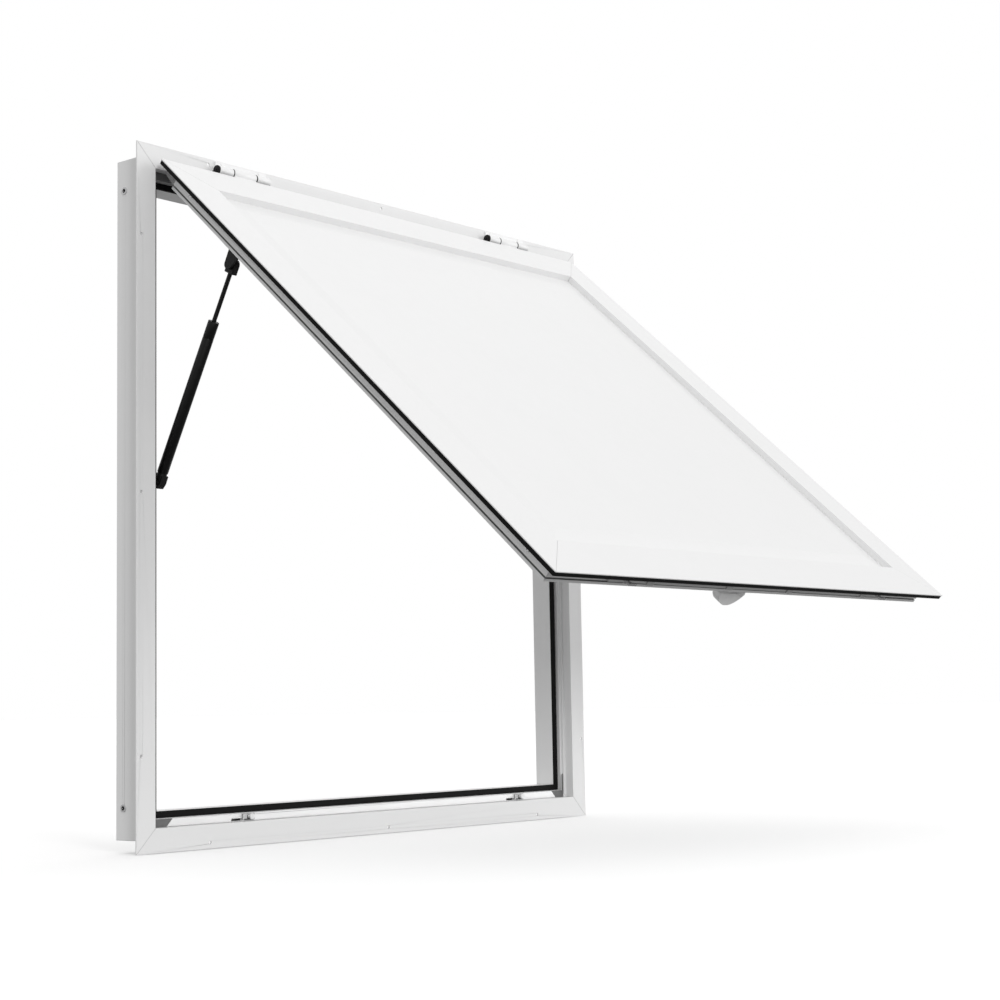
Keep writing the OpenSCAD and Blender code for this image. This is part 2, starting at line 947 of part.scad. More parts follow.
// ---------- lock ----------

bar_left = keeper_left_x - travel - 34;
bar_right = keeper_right_x - travel + 12;

module lock_bar() {
  color(grey)
    in_sash()
      on_bottom(sash_h)
        difference() {
          block([bar_left, bar_v, bar_in], [bar_right, bar_v + bar_h, bar_in + bar_t]);
          translate([bar_left, bar_v - 1, bar_in])
            rotate([0, -45, 0])
              translate([-10, 0, -10])
                cube([10, bar_h + 2, 20]);
        }
}

// Forked hook, open towards +X, drawn at the bottom of the sash.
hook_half = 6.5;
hook_reach = 6;

module lock_hook(x) {
  stud_up = stud_in - sash_margin;
  color(zinc)
    in_sash()
      on_bottom(sash_h)
        translate([x, hook_v, 0])
          difference() {
            block([-9, 0, stud_up - hook_half + 1], [hook_reach, hook_t, bar_in - 0.02]);
            translate([0, 0, stud_up]) round_y(stud_d + 2 * moving_gap, -1, hook_t + 1);
            block(
              [0, -1, stud_up - stud_d / 2 - moving_gap],
              [hook_reach + 1, hook_t + 1, stud_up + stud_d / 2 + moving_gap]
            );
          }
}

module lock_hook_left() {
  lock_hook(hook_left_x);
}
module lock_hook_right() {
  lock_hook(hook_right_x);
}

// Involute gear tooth flank, by polar angle at radius r.
pressure = 20;
base_r = pitch_r * cos(pressure);
tip_r = pitch_r + gear_module;
root_r = pitch_r - 1.25 * gear_module;
half_pitch_angle = 90 / pinion_teeth - backlash / 4 / pitch_r * 180 / PI;
function roll_deg(r) = sqrt(max(0, pow(r / base_r, 2) - 1)) * 180 / PI;
function inv_deg(r) = roll_deg(r) - atan(roll_deg(r) * PI / 180);
function flank_deg(r) = half_pitch_angle + inv_deg(pitch_r) - inv_deg(r);
flank_radii = [for (i = [0:4]) base_r + (tip_r - base_r) * i / 4];
function at_angle(r, a) = [r * cos(a), r * sin(a)];

module gear_tooth() {
  polygon(concat(
    [at_angle(root_r - 0.5, -flank_deg(base_r))],
    [for (r = flank_radii) at_angle(r, -flank_deg(r))],
    [for (i = [4:-1:0]) at_angle(flank_radii[i], flank_deg(flank_radii[i]))],
    [at_angle(root_r - 0.5, flank_deg(base_r))]
  ));
}

spindle_d = 10;
spindle_flat = 8;

// The tooth space of the rest position stands straight up, in line with a rack tooth.
module lock_pinion() {
  color(zinc)
    in_sash()
      translate([spindle_x, tooth_v + tooth_w, -sash_h / 2 + spindle_up])
        rotate([90, 0, 0])
          linear_extrude(tooth_w)
            difference() {
              union() {
                circle(root_r);
                for (i = [0:pinion_teeth - 1])
                  rotate(90 + 180 / pinion_teeth + i * 360 / pinion_teeth)
                    gear_tooth();
              }
              square(spindle_flat + 0.1, center = true);
            }
}

rack_pitch = PI * gear_module;
rack_teeth_from = -9;
rack_teeth_to = 5;

// Rack: straight teeth above the pinion, on a plate slotted for the spindle.
module lock_rack() {
  line = spindle_up + pitch_r;
  top = chamber_in - 0.4;
  root = line + 1.25 * gear_module;
  half = rack_pitch / 4 - backlash / 2;
  slope = tan(pressure);
  color(zinc)
    in_sash()
      on_bottom(sash_h) {
        translate([spindle_x, rack_v, 0])
          difference() {
            block([-rack_half, 0, bar_in + bar_t], [rack_half, rack_t, top]);
            hull() {
              translate([-travel, 0, spindle_up]) round_y(spindle_d + 1, -1, rack_t + 1);
              translate([0, 0, spindle_up]) round_y(spindle_d + 1, -1, rack_t + 1);
            }
          }
        translate([spindle_x, rack_v + eps, 0])
          rotate([90, 0, 0])
            linear_extrude(rack_v - tooth_v + eps)
              union() {
                translate([rack_teeth_from * rack_pitch - half, root])
                  square([(rack_teeth_to - rack_teeth_from) * rack_pitch + 2 * half, top - root]);
                for (i = [rack_teeth_from:rack_teeth_to])
                  polygon([
                    [i * rack_pitch - half - slope * (root - line), root + eps],
                    [i * rack_pitch - half + slope * gear_module, line - gear_module],
                    [i * rack_pitch + half - slope * gear_module, line - gear_module],
                    [i * rack_pitch + half + slope * (root - line), root + eps]
                  ]);
              }
      }
}

// Clips on the lower sash wall that carry the bar.
guide_xs = [bar_left + 82, spindle_x - rack_half - 30, spindle_x + rack_half + 50, bar_right - 50];

module lock_bar_guides() {
  g = moving_gap;
  color(dark_grey)
    in_sash()
      on_bottom(sash_h)
        for (x = guide_xs)
          translate([x, 0, 0])
            difference() {
              block(
                [-7, bar_v - g - 1.2, bar_in - g - 0.8],
                [7, bar_v + bar_h + g + 1.2, sash_box_inset - 0.02]
              );
              block([-8, bar_v - g, bar_in - g], [8, bar_v + bar_h + g, bar_in + bar_t + 0.2]);
            }
}

// Spindle: square through the pinion, round through the plate and the sash wall.
module handle_spindle() {
  color(zinc)
    in_sash()
      translate([spindle_x, 0, -sash_h / 2 + spindle_up]) {
        round_y(spindle_d - 2, tooth_v - 4, tooth_v);
        block(
          [-spindle_flat / 2, tooth_v - eps, -spindle_flat / 2],
          [spindle_flat / 2, tooth_v + tooth_w + 0.4, spindle_flat / 2]
        );
        round_y(spindle_d, tooth_v + tooth_w + 0.4 - eps, sash_depth + 3);
        block(
          [-spindle_flat / 2 + 1, sash_depth + 3 - eps, -spindle_flat / 2 + 1],
          [spindle_flat / 2 - 1, lever_v + lever_socket, spindle_flat / 2 - 1]
        );
      }
}

esc_low = 26.2;
esc_top = 56;
esc_half = 15;
esc_t = 4;
lever_gap = 0.5;
lever_hub_d = 17;
lever_socket = 7.5;
lever_v = sash_depth + esc_t + lever_gap;
handle_screw_up = 44.5;
handle_screw_d = 3;
handle_screw_xs = [spindle_x - 10, spindle_x + 10];

module handle_escutcheon() {
  color(grey)
    in_sash()
      on_bottom(sash_h)
        difference() {
          block(
            [spindle_x - esc_half, sash_depth + 0.02, esc_low],
            [spindle_x + esc_half, sash_depth + esc_t, esc_top]
          );
          translate([spindle_x, 0, spindle_up])
            round_y(spindle_d + 2 * pin_clear, sash_depth - 1, sash_depth + esc_t + 1);
          for (x = handle_screw_xs)
            translate([x, 0, handle_screw_up])
              round_y(handle_screw_d + 2 * slack, sash_depth - 1, sash_depth + esc_t + 1);
        }
}

module handle_screws() {
  color(zinc)
    in_sash()
      on_bottom(sash_h)
        for (x = handle_screw_xs)
          translate([x, sash_depth + esc_t + 0.02, handle_screw_up])
            rotate([90, 0, 0])
              pan_screw(handle_screw_d, 5.5, 1.4, esc_t + 6);
}

// Lever: a rounded hump that reaches from the spindle to its tip at -X.
lever_w = 13;

module handle_lever() {
  top = sash_depth + lever_proud;
  foot = 4;
  hub_lip = 1.5;
  half = (lever_len + lever_hub_d / 2 - hub_lip) / 2;
  middle = lever_hub_d / 2 - hub_lip - half;
  rise = top - lever_v - foot;
  steps = 8;
  color(grey)
    in_sash()
      translate([spindle_x, 0, -sash_h / 2 + spindle_up])
        difference() {
          union() {
            round_y(lever_hub_d, lever_v, lever_v + foot + hub_lip);
            translate([0, 0, -lever_w / 2])
              linear_extrude(lever_w)
                polygon([
                  for (i = [-steps:steps])
                    let (u = -i / steps)
                      [middle + half * u, lever_v + foot + rise * pow(1 - pow(abs(u), 2.2), 0.9)]
                ]);
          }
          block(
            [-spindle_flat / 2 + 0.95, lever_v - 1, -spindle_flat / 2 + 0.95],
            [spindle_flat / 2 - 0.95, lever_v + lever_socket + slack, spindle_flat / 2 - 0.95]
          );
        }
}

// ---------- gas struts ----------

module strut_side(side) {
  mirror([side > 0 ? 1 : 0, 0, 0]) children();
}

// Strut space of the left strut: origin at the lower pivot, +Z along the strut.
module along_strut() {
  translate([-strut_x, lower_pivot[0], lower_pivot[1]])
    rotate([strut_lean, 0, 0])
      children();
}

module strut_frame_bracket(side) {
  wall = -flange_w / 2 + reveal + 0.02;
  color(black)
    strut_side(side)
      difference() {
        union() {
          translate([wall, lower_pivot[0], lower_pivot[1]]) {
            block([0, -7, -bracket_screw_gap / 2 - 6], [2, 7, bracket_screw_gap / 2 + 6]);
            round_x(ball_d * 0.6, 1, strut_inset - reveal);
          }
          translate([-strut_x, lower_pivot[0], lower_pivot[1]]) sphere(d = ball_d);
        }
        for (s = [-1, 1])
          translate([wall - 1, lower_pivot[0], lower_pivot[1] + s * bracket_screw_gap / 2])
            rotate([0, 90, 0])
              cylinder(d = bracket_screw_d + 2 * slack, h = 5);
      }
}

// Moulded cup on the lower ball, open on the wall side, tapering to its foot.
module strut_lower_socket(side) {
  top_half = cylinder_d / 2 - 0.8;
  ball_half = ball_d / 2 + 2;
  foot_half = ball_half - 2.5;
  color(black)
    strut_side(side)
      along_strut()
        difference() {
          union() {
            translate([-4.2, 0, 0])
              rotate([90, 0, 90])
                linear_extrude(10.7)
                  polygon([
                    [-top_half, socket_h - 3],
                    [-ball_half, 0],
                    [-foot_half, -ball_half - 1],
                    [foot_half, -ball_half - 1],
                    [ball_half, 0],
                    [top_half, socket_h - 3]
                  ]);
            cylinder(r = top_half, h = socket_h - press);
          }
          sphere(d = ball_d + 2 * moving_gap);
          round_x(ball_d + 2 * moving_gap, -10, 0);
        }
}

module strut_cylinder(side) {
  bore = cylinder_d - 2 * cylinder_wall;
  color(black)
    strut_side(side)
      along_strut()
        translate([0, 0, socket_h])
          difference() {
            cylinder(d = cylinder_d, h = cylinder_len);
            translate([0, 0, 3]) cylinder(d = bore, h = cylinder_len - 3 - guide_len);
            cylinder(d = rod_d + 2 * 0.05, h = cylinder_len + 1);
            translate([0, 0, -eps]) cylinder(d = rod_d + 2, h = 3 - 1);
            translate([0, 0, cylinder_len - ring_down])
              difference() {
                cylinder(d = cylinder_d + 1, h = ring_w);
                cylinder(d = cylinder_d - 2 * ring_deep, h = ring_w);
              }
          }
}

module strut_piston(side) {
  bore = cylinder_d - 2 * cylinder_wall;
  color(zinc)
    strut_side(side)
      along_strut()
        translate([0, 0, socket_h + cylinder_len - guide_len - 2 - piston_len])
          difference() {
            cylinder(d = bore - 2 * 0.08, h = piston_len);
            translate([0, 0, 2]) cylinder(d = rod_d + 2 * press, h = piston_len);
          }
}

module strut_rod(side) {
  from = socket_h + cylinder_len - guide_len - 2 - piston_len + 2.02;
  color(black)
    strut_side(side)
      along_strut()
        translate([0, 0, from])
          cylinder(d = rod_d, h = strut_open - upper_socket_h + 6 - from);
}

// Rod end: a squared block with an eye that lies beside the bracket pin.
eye_d = 15;
eye_from = -4.5;
eye_to = 5;

module strut_upper_socket(side) {
  color(black)
    strut_side(side)
      along_strut()
        translate([0, 0, strut_open])
          difference() {
            union() {
              round_x(eye_d, eye_from, eye_to);
              block(
                [eye_from + slack, -eye_d / 2, -upper_socket_h],
                [eye_to - slack, eye_d / 2, 0]
              );
            }
            translate([0, 0, -upper_socket_h - 1]) cylinder(d = rod_d + 2 * press, h = 7 + press);
            round_x(8, eye_from - 1, eye_from + 3);
          }
}

// Bracket on the stile: a foot, an upright ear and a short pin that stops beside the eye.
ear_gap = 0.4;

module strut_sash_bracket(side) {
  v0 = sash_depth + 0.02;
  pivot_v = sash_depth + upper_pivot_off;
  left = -sash_w / 2;
  ear_end = strut_face_in + eye_from - ear_gap;
  color(black)
    strut_side(side)
      in_sash()
        difference() {
          union() {
            block(
              [left + 26.2, v0, upper_closed[1] - pad_gap / 2 - 7],
              [left + strut_face_in + 9, v0 + 2.5, upper_closed[1] + pad_gap / 2 + 7]
            );
            hull() {
              block(
                [left + ear_end - 4.5, v0, upper_closed[1] - 12],
                [left + ear_end - 1.5, v0 + 1, upper_closed[1] + 12]
              );
              translate([0, pivot_v, upper_closed[1]])
                round_x(14, left + ear_end - 4.5, left + ear_end - 1.5);
            }
            translate([0, pivot_v, upper_closed[1]])
              round_x(7.5, left + ear_end - 2, left + ear_end);
          }
          for (s = [-1, 1])
            translate([left + strut_face_in, 0, upper_closed[1] + s * pad_gap / 2])
              round_y(bracket_screw_d + 2 * slack, v0 - 1, v0 + 4);
        }
}

module strut_left_frame_bracket() {
  strut_frame_bracket(-1);
}
module strut_left_lower_socket() {
  strut_lower_socket(-1);
}
module strut_left_cylinder() {
  strut_cylinder(-1);
}
module strut_left_piston() {
  strut_piston(-1);
}
module strut_left_rod() {
  strut_rod(-1);
}
module strut_left_upper_socket() {
  strut_upper_socket(-1);
}
module strut_left_sash_bracket() {
  strut_sash_bracket(-1);
}
module strut_right_frame_bracket() {
  strut_frame_bracket(1);
}
module strut_right_lower_socket() {
  strut_lower_socket(1);
}
module strut_right_cylinder() {
  strut_cylinder(1);
}
module strut_right_piston() {
  strut_piston(1);
}
module strut_right_rod() {
  strut_rod(1);
}
module strut_right_upper_socket() {
  strut_upper_socket(1);
}
module strut_right_sash_bracket() {
  strut_sash_bracket(1);
}

module strut_frame_screws() {
  wall = -flange_w / 2 + reveal + 2.04;
  color(zinc)
    for (side = [-1, 1])
      strut_side(side)
        for (s = [-1, 1])
          translate([wall, lower_pivot[0], lower_pivot[1] + s * bracket_screw_gap / 2])
            rotate([0, -90, 0])
              pan_screw(bracket_screw_d, 7.5, 1.8, 9);
}

module strut_sash_screws() {
  seat = sash_depth + 2.54;
  color(zinc)
    for (side = [-1, 1])
      strut_side(side)
        in_sash()
          for (s = [-1, 1])
            translate([-sash_w / 2 + strut_face_in, seat, upper_closed[1] + s * pad_gap / 2])
              rotate([90, 0, 0])
                pan_screw(bracket_screw_d, 7.5, 1.8, 8);
}

frame_head();
frame_sill();
frame_jamb_left();
frame_jamb_right();
frame_corner_keys();
frame_corner_screws();
frame_seal();
sill_strip();
corner_blocks();
keeper_left();
keeper_right();
keeper_studs();
hinge_frame_leaf_left();
hinge_frame_leaf_right();
hinge_pin_left();
hinge_pin_right();
hinge_caps();
hinge_washers();
hinge_frame_rivets();
hinge_sash_leaf_left();
hinge_sash_leaf_right();
hinge_sash_rivets();
sash_top_rail();
sash_bottom_rail();
sash_stile_left();
sash_stile_right();
sash_corner_keys();
sash_corner_screws();
sash_seal();
panel_outer_skin();
panel_spacer();
panel_inner_skin();
lock_bar();
lock_hook_left();
lock_hook_right();
lock_rack();
lock_bar_guides();
lock_pinion();
handle_spindle();
handle_lever();
handle_escutcheon();
handle_screws();
strut_left_frame_bracket();
strut_left_lower_socket();
strut_left_cylinder();
strut_left_piston();
strut_left_rod();
strut_left_upper_socket();
strut_left_sash_bracket();
strut_right_frame_bracket();
strut_right_lower_socket();
strut_right_cylinder();
strut_right_piston();
strut_right_rod();
strut_right_upper_socket();
strut_right_sash_bracket();
strut_frame_screws();
strut_sash_screws();
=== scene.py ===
import json
import math
import bpy
from mathutils import Euler, Matrix, Vector


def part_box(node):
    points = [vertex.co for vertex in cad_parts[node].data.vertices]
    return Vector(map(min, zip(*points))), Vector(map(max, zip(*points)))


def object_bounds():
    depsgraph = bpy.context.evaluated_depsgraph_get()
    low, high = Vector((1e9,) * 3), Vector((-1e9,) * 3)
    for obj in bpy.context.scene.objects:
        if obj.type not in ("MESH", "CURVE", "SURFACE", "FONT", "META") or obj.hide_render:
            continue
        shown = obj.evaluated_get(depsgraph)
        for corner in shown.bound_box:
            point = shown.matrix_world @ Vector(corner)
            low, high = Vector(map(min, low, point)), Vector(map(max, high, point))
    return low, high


MM = 0.001

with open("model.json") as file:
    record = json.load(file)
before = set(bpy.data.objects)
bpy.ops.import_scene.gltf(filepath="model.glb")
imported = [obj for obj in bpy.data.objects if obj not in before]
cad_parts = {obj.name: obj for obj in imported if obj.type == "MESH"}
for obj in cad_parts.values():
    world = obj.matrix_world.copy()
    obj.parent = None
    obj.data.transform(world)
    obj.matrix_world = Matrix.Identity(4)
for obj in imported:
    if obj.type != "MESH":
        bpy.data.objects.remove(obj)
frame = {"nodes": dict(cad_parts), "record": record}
cad_low, cad_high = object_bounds()
record = frame["record"]
joints = {j["name"]: j for j in record["behaviour"]["joints"]}

# Turns the sash from the open place where it is drawn to its closed place.
HINGE = Vector(joints["sash_hinge"]["pos_m"])
OPEN_ANGLE = math.radians(joints["sash_hinge"]["range_deg"][1])
OPEN_TO_CLOSED = Euler((OPEN_ANGLE, 0, 0)).to_matrix()
CLOSED_SHIFT = HINGE - OPEN_TO_CLOSED @ HINGE

# Half sizes of the flange and of the closed sash, and the depth of the groove around the sash,
# which lies GROOVE_FROM_BACK in front of the sash's back.
GROOVE_FROM_BACK = 5 * MM
flange_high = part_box("frame_head")[1]
FLANGE_HALF = Vector((flange_high.x, 0, flange_high.z))
top_rail = frame["nodes"]["sash_top_rail"].data.vertices
top_rail_closed = [OPEN_TO_CLOSED @ v.co + CLOSED_SHIFT for v in top_rail]
SASH_HALF = Vector((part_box("sash_top_rail")[1].x, 0, max(p.z for p in top_rail_closed)))
SASH_GROOVE_Y = max(p.y for p in top_rail_closed) - GROOVE_FROM_BACK

# Sockets of a Mix node: its factor, then A, B and the result for numbers and for colours.
MIX_FACTOR = 0
MIX_NUMBER_A, MIX_NUMBER_B, MIX_NUMBER = 2, 3, 0
MIX_COLOUR_A, MIX_COLOUR_B, MIX_COLOUR = 6, 7, 2


# ---------- node helpers ----------

class Shader:
    """One material and short ways to add nodes to it."""

    def __init__(self, name, axes="row"):
        """`axes` is "row" for the object's own axes, or "sash" for those of the closed sash."""
        self.material = bpy.data.materials.new(name)
        self.material.use_nodes = True
        self.tree = self.material.node_tree
        self.nodes = self.tree.nodes
        self.surface = self.nodes["Principled BSDF"]
        coords = self.nodes.new("ShaderNodeTexCoord").outputs["Object"]
        if axes == "sash":
            turn = self.nodes.new("ShaderNodeMapping")
            turn.inputs["Rotation"].default_value = (OPEN_ANGLE, 0, 0)
            turn.inputs["Location"].default_value = CLOSED_SHIFT
            self.link(coords, turn.inputs["Vector"])
            coords = turn.outputs["Vector"]
        self.coords = coords
        parts = self.nodes.new("ShaderNodeSeparateXYZ")
        self.link(coords, parts.inputs[0])
        self.x, self.y, self.z = parts.outputs

    def link(self, a, b):
        self.tree.links.new(a, b)

    def put(self, value, socket):
        """Links another node's output, or sets a plain value."""
        if hasattr(value, "is_output"):
            self.link(value, socket)
        else:
            socket.default_value = value

    def set(self, name, value):
        self.put(value, self.surface.inputs[name])

    def calc(self, operation, a, b=0.0):
        node = self.nodes.new("ShaderNodeMath")
        node.operation = operation
        for value, socket in zip((a, b), node.inputs):
            self.put(value, socket)
        return node.outputs[0]

    def fade(self, value, low, high, to_low=0.0, to_high=1.0):
        """Smooth step from `to_low` where the value is at `low` to `to_high` at `high`."""
        node = self.nodes.new("ShaderNodeMapRange")
        node.interpolation_type = "SMOOTHSTEP"
        for i, v in enumerate((value, low, high, to_low, to_high)):
            self.put(v, node.inputs[i])
        return node.outputs[0]

    def noise(self, scale, detail=3.0, rough=0.5, stretch=(1, 1, 1)):
        """Noise whose scale is in waves per metre."""
        mapping = self.nodes.new("ShaderNodeMapping")
        mapping.inputs["Scale"].default_value = stretch
        self.link(self.coords, mapping.inputs["Vector"])
        node = self.nodes.new("ShaderNodeTexNoise")
        self.link(mapping.outputs["Vector"], node.inputs["Vector"])
        node.inputs["Scale"].default_value = scale
        node.inputs["Detail"].default_value = detail
        node.inputs["Roughness"].default_value = rough
        return node.outputs[0]

    def mix(self, factor, a, b):
        """Mixes two colours."""
        node = self.nodes.new("ShaderNodeMix")
        node.data_type = "RGBA"
        self.put(factor, node.inputs[MIX_FACTOR])
        self.put(a, node.inputs[MIX_COLOUR_A])
        self.put(b, node.inputs[MIX_COLOUR_B])
        return node.outputs[MIX_COLOUR]

    def bump(self, *layers):
        """Each layer is (height, strength, depth in metres)."""
        normal = None
        for height, strength, depth in layers:
            node = self.nodes.new("ShaderNodeBump")
            node.inputs["Strength"].default_value = strength
            node.inputs["Distance"].default_value = depth
            self.link(height, node.inputs["Height"])
            if normal:
                self.link(normal, node.inputs["Normal"])
            normal = node.outputs[0]
        self.set("Normal", normal)

    def off(self, value, middle=0.0):
        """Distance of a coordinate from a middle value."""
        return self.calc("ABSOLUTE", self.calc("SUBTRACT", value, middle))

    def off_diagonal(self, half):
        """Distance from the four mitre planes of a rectangle."""
        across = self.calc("SUBTRACT", self.off(self.x), half.x)
        up = self.calc("SUBTRACT", self.off(self.z), half.z)
        return self.calc("ABSOLUTE", self.calc("SUBTRACT", across, up))

    def inset(self, half, middle=Vector((0, 0, 0))):
        """Distance in from the edge of a rectangle in the X-Z plane."""
        across = self.calc("SUBTRACT", half.x, self.off(self.x, middle.x))
        up = self.calc("SUBTRACT", half.z, self.off(self.z, middle.z))
        return self.calc("MINIMUM", across, up)


def grey(v, tint=0.0):
    """Neutral colour; a negative `tint` makes it a little bluer."""
    return (v, v, v * (1 - tint), 1)


# ---------- materials ----------

def powder_coat(name, axes="row", tone=0.8, mitre_half=None, mitre_dark=0.3, groove_y=None):
    """White powder coat with faint mottling, fine specks and orange peel.

    `mitre_half` is the half size of the rectangle whose rails meet in a hairline, and
    `mitre_dark` how strong that line is. `groove_y` is the depth of a narrow groove whose
    floor is painted near black as the shade that falls in it.
    """
    s = Shader(name, axes)
    mottle = s.noise(9, detail=4, rough=0.6)
    specks = s.fade(s.noise(1400, detail=1), 0.7, 0.78)
    peel = s.noise(420, detail=2)
    grain = s.noise(2600, detail=2)
    colour = s.mix(mottle, grey(tone * 0.975), grey(tone))
    colour = s.mix(s.calc("MULTIPLY", specks, 0.05), colour, grey(tone * 0.6))
    layers = [(peel, 0.16, 0.06 * MM), (grain, 0.08, 0.02 * MM)]
    if mitre_half:
        off = s.off_diagonal(mitre_half)
        line = s.fade(off, 0.35 * MM, 0.95 * MM, 1.0, 0.0)
        colour = s.mix(s.calc("MULTIPLY", line, mitre_dark), colour, grey(0.16))
        layers.append((s.fade(off, 0.2 * MM, 0.9 * MM), 0.4 * mitre_dark, 0.2 * MM))
    if groove_y:
        # Painted shade: the floor of the groove is coloured near black as the shadow in it.
        painted_groove_shade = s.fade(s.off(s.y, groove_y), 0.9 * MM, 1.5 * MM, 0.85, 0.0)
        colour = s.mix(painted_groove_shade, colour, grey(0.03))
    s.set("Base Color", colour)
    s.set("Roughness", s.fade(s.noise(60), 0.2, 0.8, 0.34, 0.43))
    s.set("Specular IOR Level", 0.45)
    s.set("Coat Weight", 0.12)
    s.set("Coat Roughness", 0.25)
    s.bump(*layers)
    return s.material


def anodised(name, tone, axes="row", along="x"):
    """Satin anodised extrusion with fine die lines along its length."""
    s = Shader(name, axes)
    line_stretch = 70
    stretch = (1, line_stretch, line_stretch) if along == "x" else (line_stretch, line_stretch, 1)
    die_lines = s.noise(16, detail=6, rough=0.7, stretch=stretch)
    grain = s.noise(2200, detail=2)
    cloud = s.noise(14)
    colour = s.mix(die_lines, grey(tone * 0.86), grey(tone))
    colour = s.mix(s.calc("MULTIPLY", cloud, 0.12), colour, grey(tone * 0.7))
    s.set("Base Color", colour)
    s.set("Metallic", 0.55)
    s.set("Roughness", s.fade(die_lines, 0.25, 0.75, 0.3, 0.46))
    s.bump((die_lines, 0.22, 0.05 * MM), (grain, 0.1, 0.02 * MM))
    return s.material


def zinc_steel(name, sockets=None):
    """Bright zinc-plated steel with a faint spangle and an uneven gloss.

    `sockets` is (y, z, radius): the driver recess of screws that lie along X, painted near black
    as its shade.
    """
    s = Shader(name)
    tone = 0.62
    cells = s.nodes.new("ShaderNodeTexVoronoi")
    s.link(s.coords, cells.inputs["Vector"])
    cells.inputs["Scale"].default_value = 650
    spangle = s.fade(cells.outputs["Distance"], 0.0, 0.9)
    colour = s.mix(spangle, grey(tone * 0.84), grey(tone, -0.02))
    if sockets:
        y, z, radius = sockets
        dy = s.calc("SUBTRACT", s.y, y)
        dz = s.calc("SUBTRACT", s.off(s.z), z)
        squares = s.calc("ADD", s.calc("MULTIPLY", dy, dy), s.calc("MULTIPLY", dz, dz))
        outside = s.fade(s.calc("SQRT", squares), radius * 0.85, radius * 1.15)
        # Painted shade: inside the driver recess the colour goes near black as the shade in the
        # hollow.
        colour = s.mix(outside, grey(0.01), colour)
    s.set("Base Color", colour)
    s.set("Metallic", 0.95)
    s.set("Roughness", s.fade(s.noise(240, detail=4), 0.3, 0.75, 0.22, 0.42))
    s.bump((s.noise(900), 0.15, 0.04 * MM))
    return s.material


def keeper_plate(name, node):
    """Light zinc plate with a shallow line a little inside its edge, painted dark as the shade of
    a gap.
    """
    s = Shader(name)
    tone, line_w = 0.8, 0.9 * MM
    low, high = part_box(node)
    inset = s.inset((high - low) / 2, (low + high) / 2)
    line = s.fade(inset, line_w * 0.8, line_w * 1.3, 1.0, 0.0)
    colour = s.mix(s.noise(90, detail=4), grey(tone * 0.9), grey(tone))
    # Painted shade: the line near the plate's edge is darkened as the shadow gap around the
    # plate.
    s.set("Base Color", s.mix(s.calc("MULTIPLY", line, 0.75), colour, grey(0.12)))
    s.set("Metallic", 0.3)
    s.set("Roughness", s.fade(s.noise(240, detail=4), 0.3, 0.75, 0.3, 0.45))
    s.bump((line, 0.5, 0.2 * MM), (s.noise(900), 0.15, 0.04 * MM))
    return s.material


def keeper_stud(name, node):
    """Bright stud on a base painted black as the shade under it, which lies against the keeper
    plate `node`.

    Both keepers lie at one depth, so one plate stands for both.
    """
    s = Shader(name)
    base_t, blend = 1.0 * MM, 0.2 * MM
    base_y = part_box(node)[0].y - base_t
    stud = s.fade(s.y, base_y - blend, base_y + blend, 1.0, 0.0)
    metal = s.mix(s.noise(90, detail=4), grey(0.62), grey(0.74))
    # Painted shade: below the plate's depth the stud is coloured near black as the shadow under
    # it.
    s.set("Base Color", s.mix(stud, grey(0.012), metal))
    s.set("Metallic", s.calc("MULTIPLY", stud, 0.3))
    s.set("Roughness", s.fade(s.noise(240, detail=4), 0.3, 0.75, 0.34, 0.5))
    s.bump((s.noise(900), 0.15, 0.04 * MM))
    return s.material


def seal_rubber(name, axes, half):
    """Black extruded seal: ribs along its length, dusty bloom and a fine grain."""
    s = Shader(name, axes)
    rib_pitch = 1.35 * MM
    ribs = s.calc("SINE", s.calc("MULTIPLY", s.inset(half), 2 * math.pi / rib_pitch))
    dust = s.fade(s.noise(55, detail=5, rough=0.65), 0.5, 0.8)
    s.set("Base Color", s.mix(s.calc("MULTIPLY", dust, 0.3), grey(0.0035), grey(0.014)))
    s.set("Roughness", s.fade(dust, 0, 1, 0.62, 0.8))
    s.set("Specular IOR Level", 0.12)
    s.bump((ribs, 0.35, 0.12 * MM), (s.noise(1800), 0.25, 0.04 * MM))
    return s.material


def moulded_plastic(name, tone, axes="row", gloss=0.35):
    """Moulded plastic with a fine spark-eroded texture."""
    s = Shader(name, axes)
    s.set("Base Color", s.mix(s.noise(120, detail=4), grey(tone * 0.85), grey(tone * 1.15)))
    s.set("Roughness", s.fade(s.noise(300), 0.3, 0.7, 0.44, 0.56))
    s.set("Specular IOR Level", gloss)
    s.bump((s.noise(2400, rough=0.7), 0.4, 0.05 * MM))
    return s.material


def black_enamel(name, tone=0.0035, rough=0.3, metallic=0.0):
    """Gloss black paint on steel, slightly uneven, with a few dust nibs."""
    s = Shader(name)
    dust = s.fade(s.noise(80, detail=5, rough=0.7), 0.55, 0.85)
    waves = s.noise(500, detail=2)
    nibs = s.noise(2500, detail=1)
    s.set("Base Color", s.mix(s.calc("MULTIPLY", dust, 0.5), grey(tone), grey(tone + 0.006)))
    s.set("Roughness", s.fade(s.noise(150), 0.3, 0.7, rough, rough + 0.1))
    s.set("Metallic", metallic)
    s.set("Specular IOR Level", 0.24)
    s.bump((waves, 0.12, 0.06 * MM), (nibs, 0.08, 0.02 * MM))
    return s.material


def cast_grey(name, tone):
    """Painted die-casting with a pebbled skin."""
    s = Shader(name, "sash")
    s.set("Base Color", s.mix(s.noise(70, detail=4), grey(tone * 0.88), grey(tone * 1.08)))
    s.set("Roughness", s.fade(s.noise(200), 0.3, 0.7, 0.36, 0.5))
    s.set("Metallic", 0.1)
    s.bump((s.noise(1100), 0.3, 0.06 * MM))
    return s.material


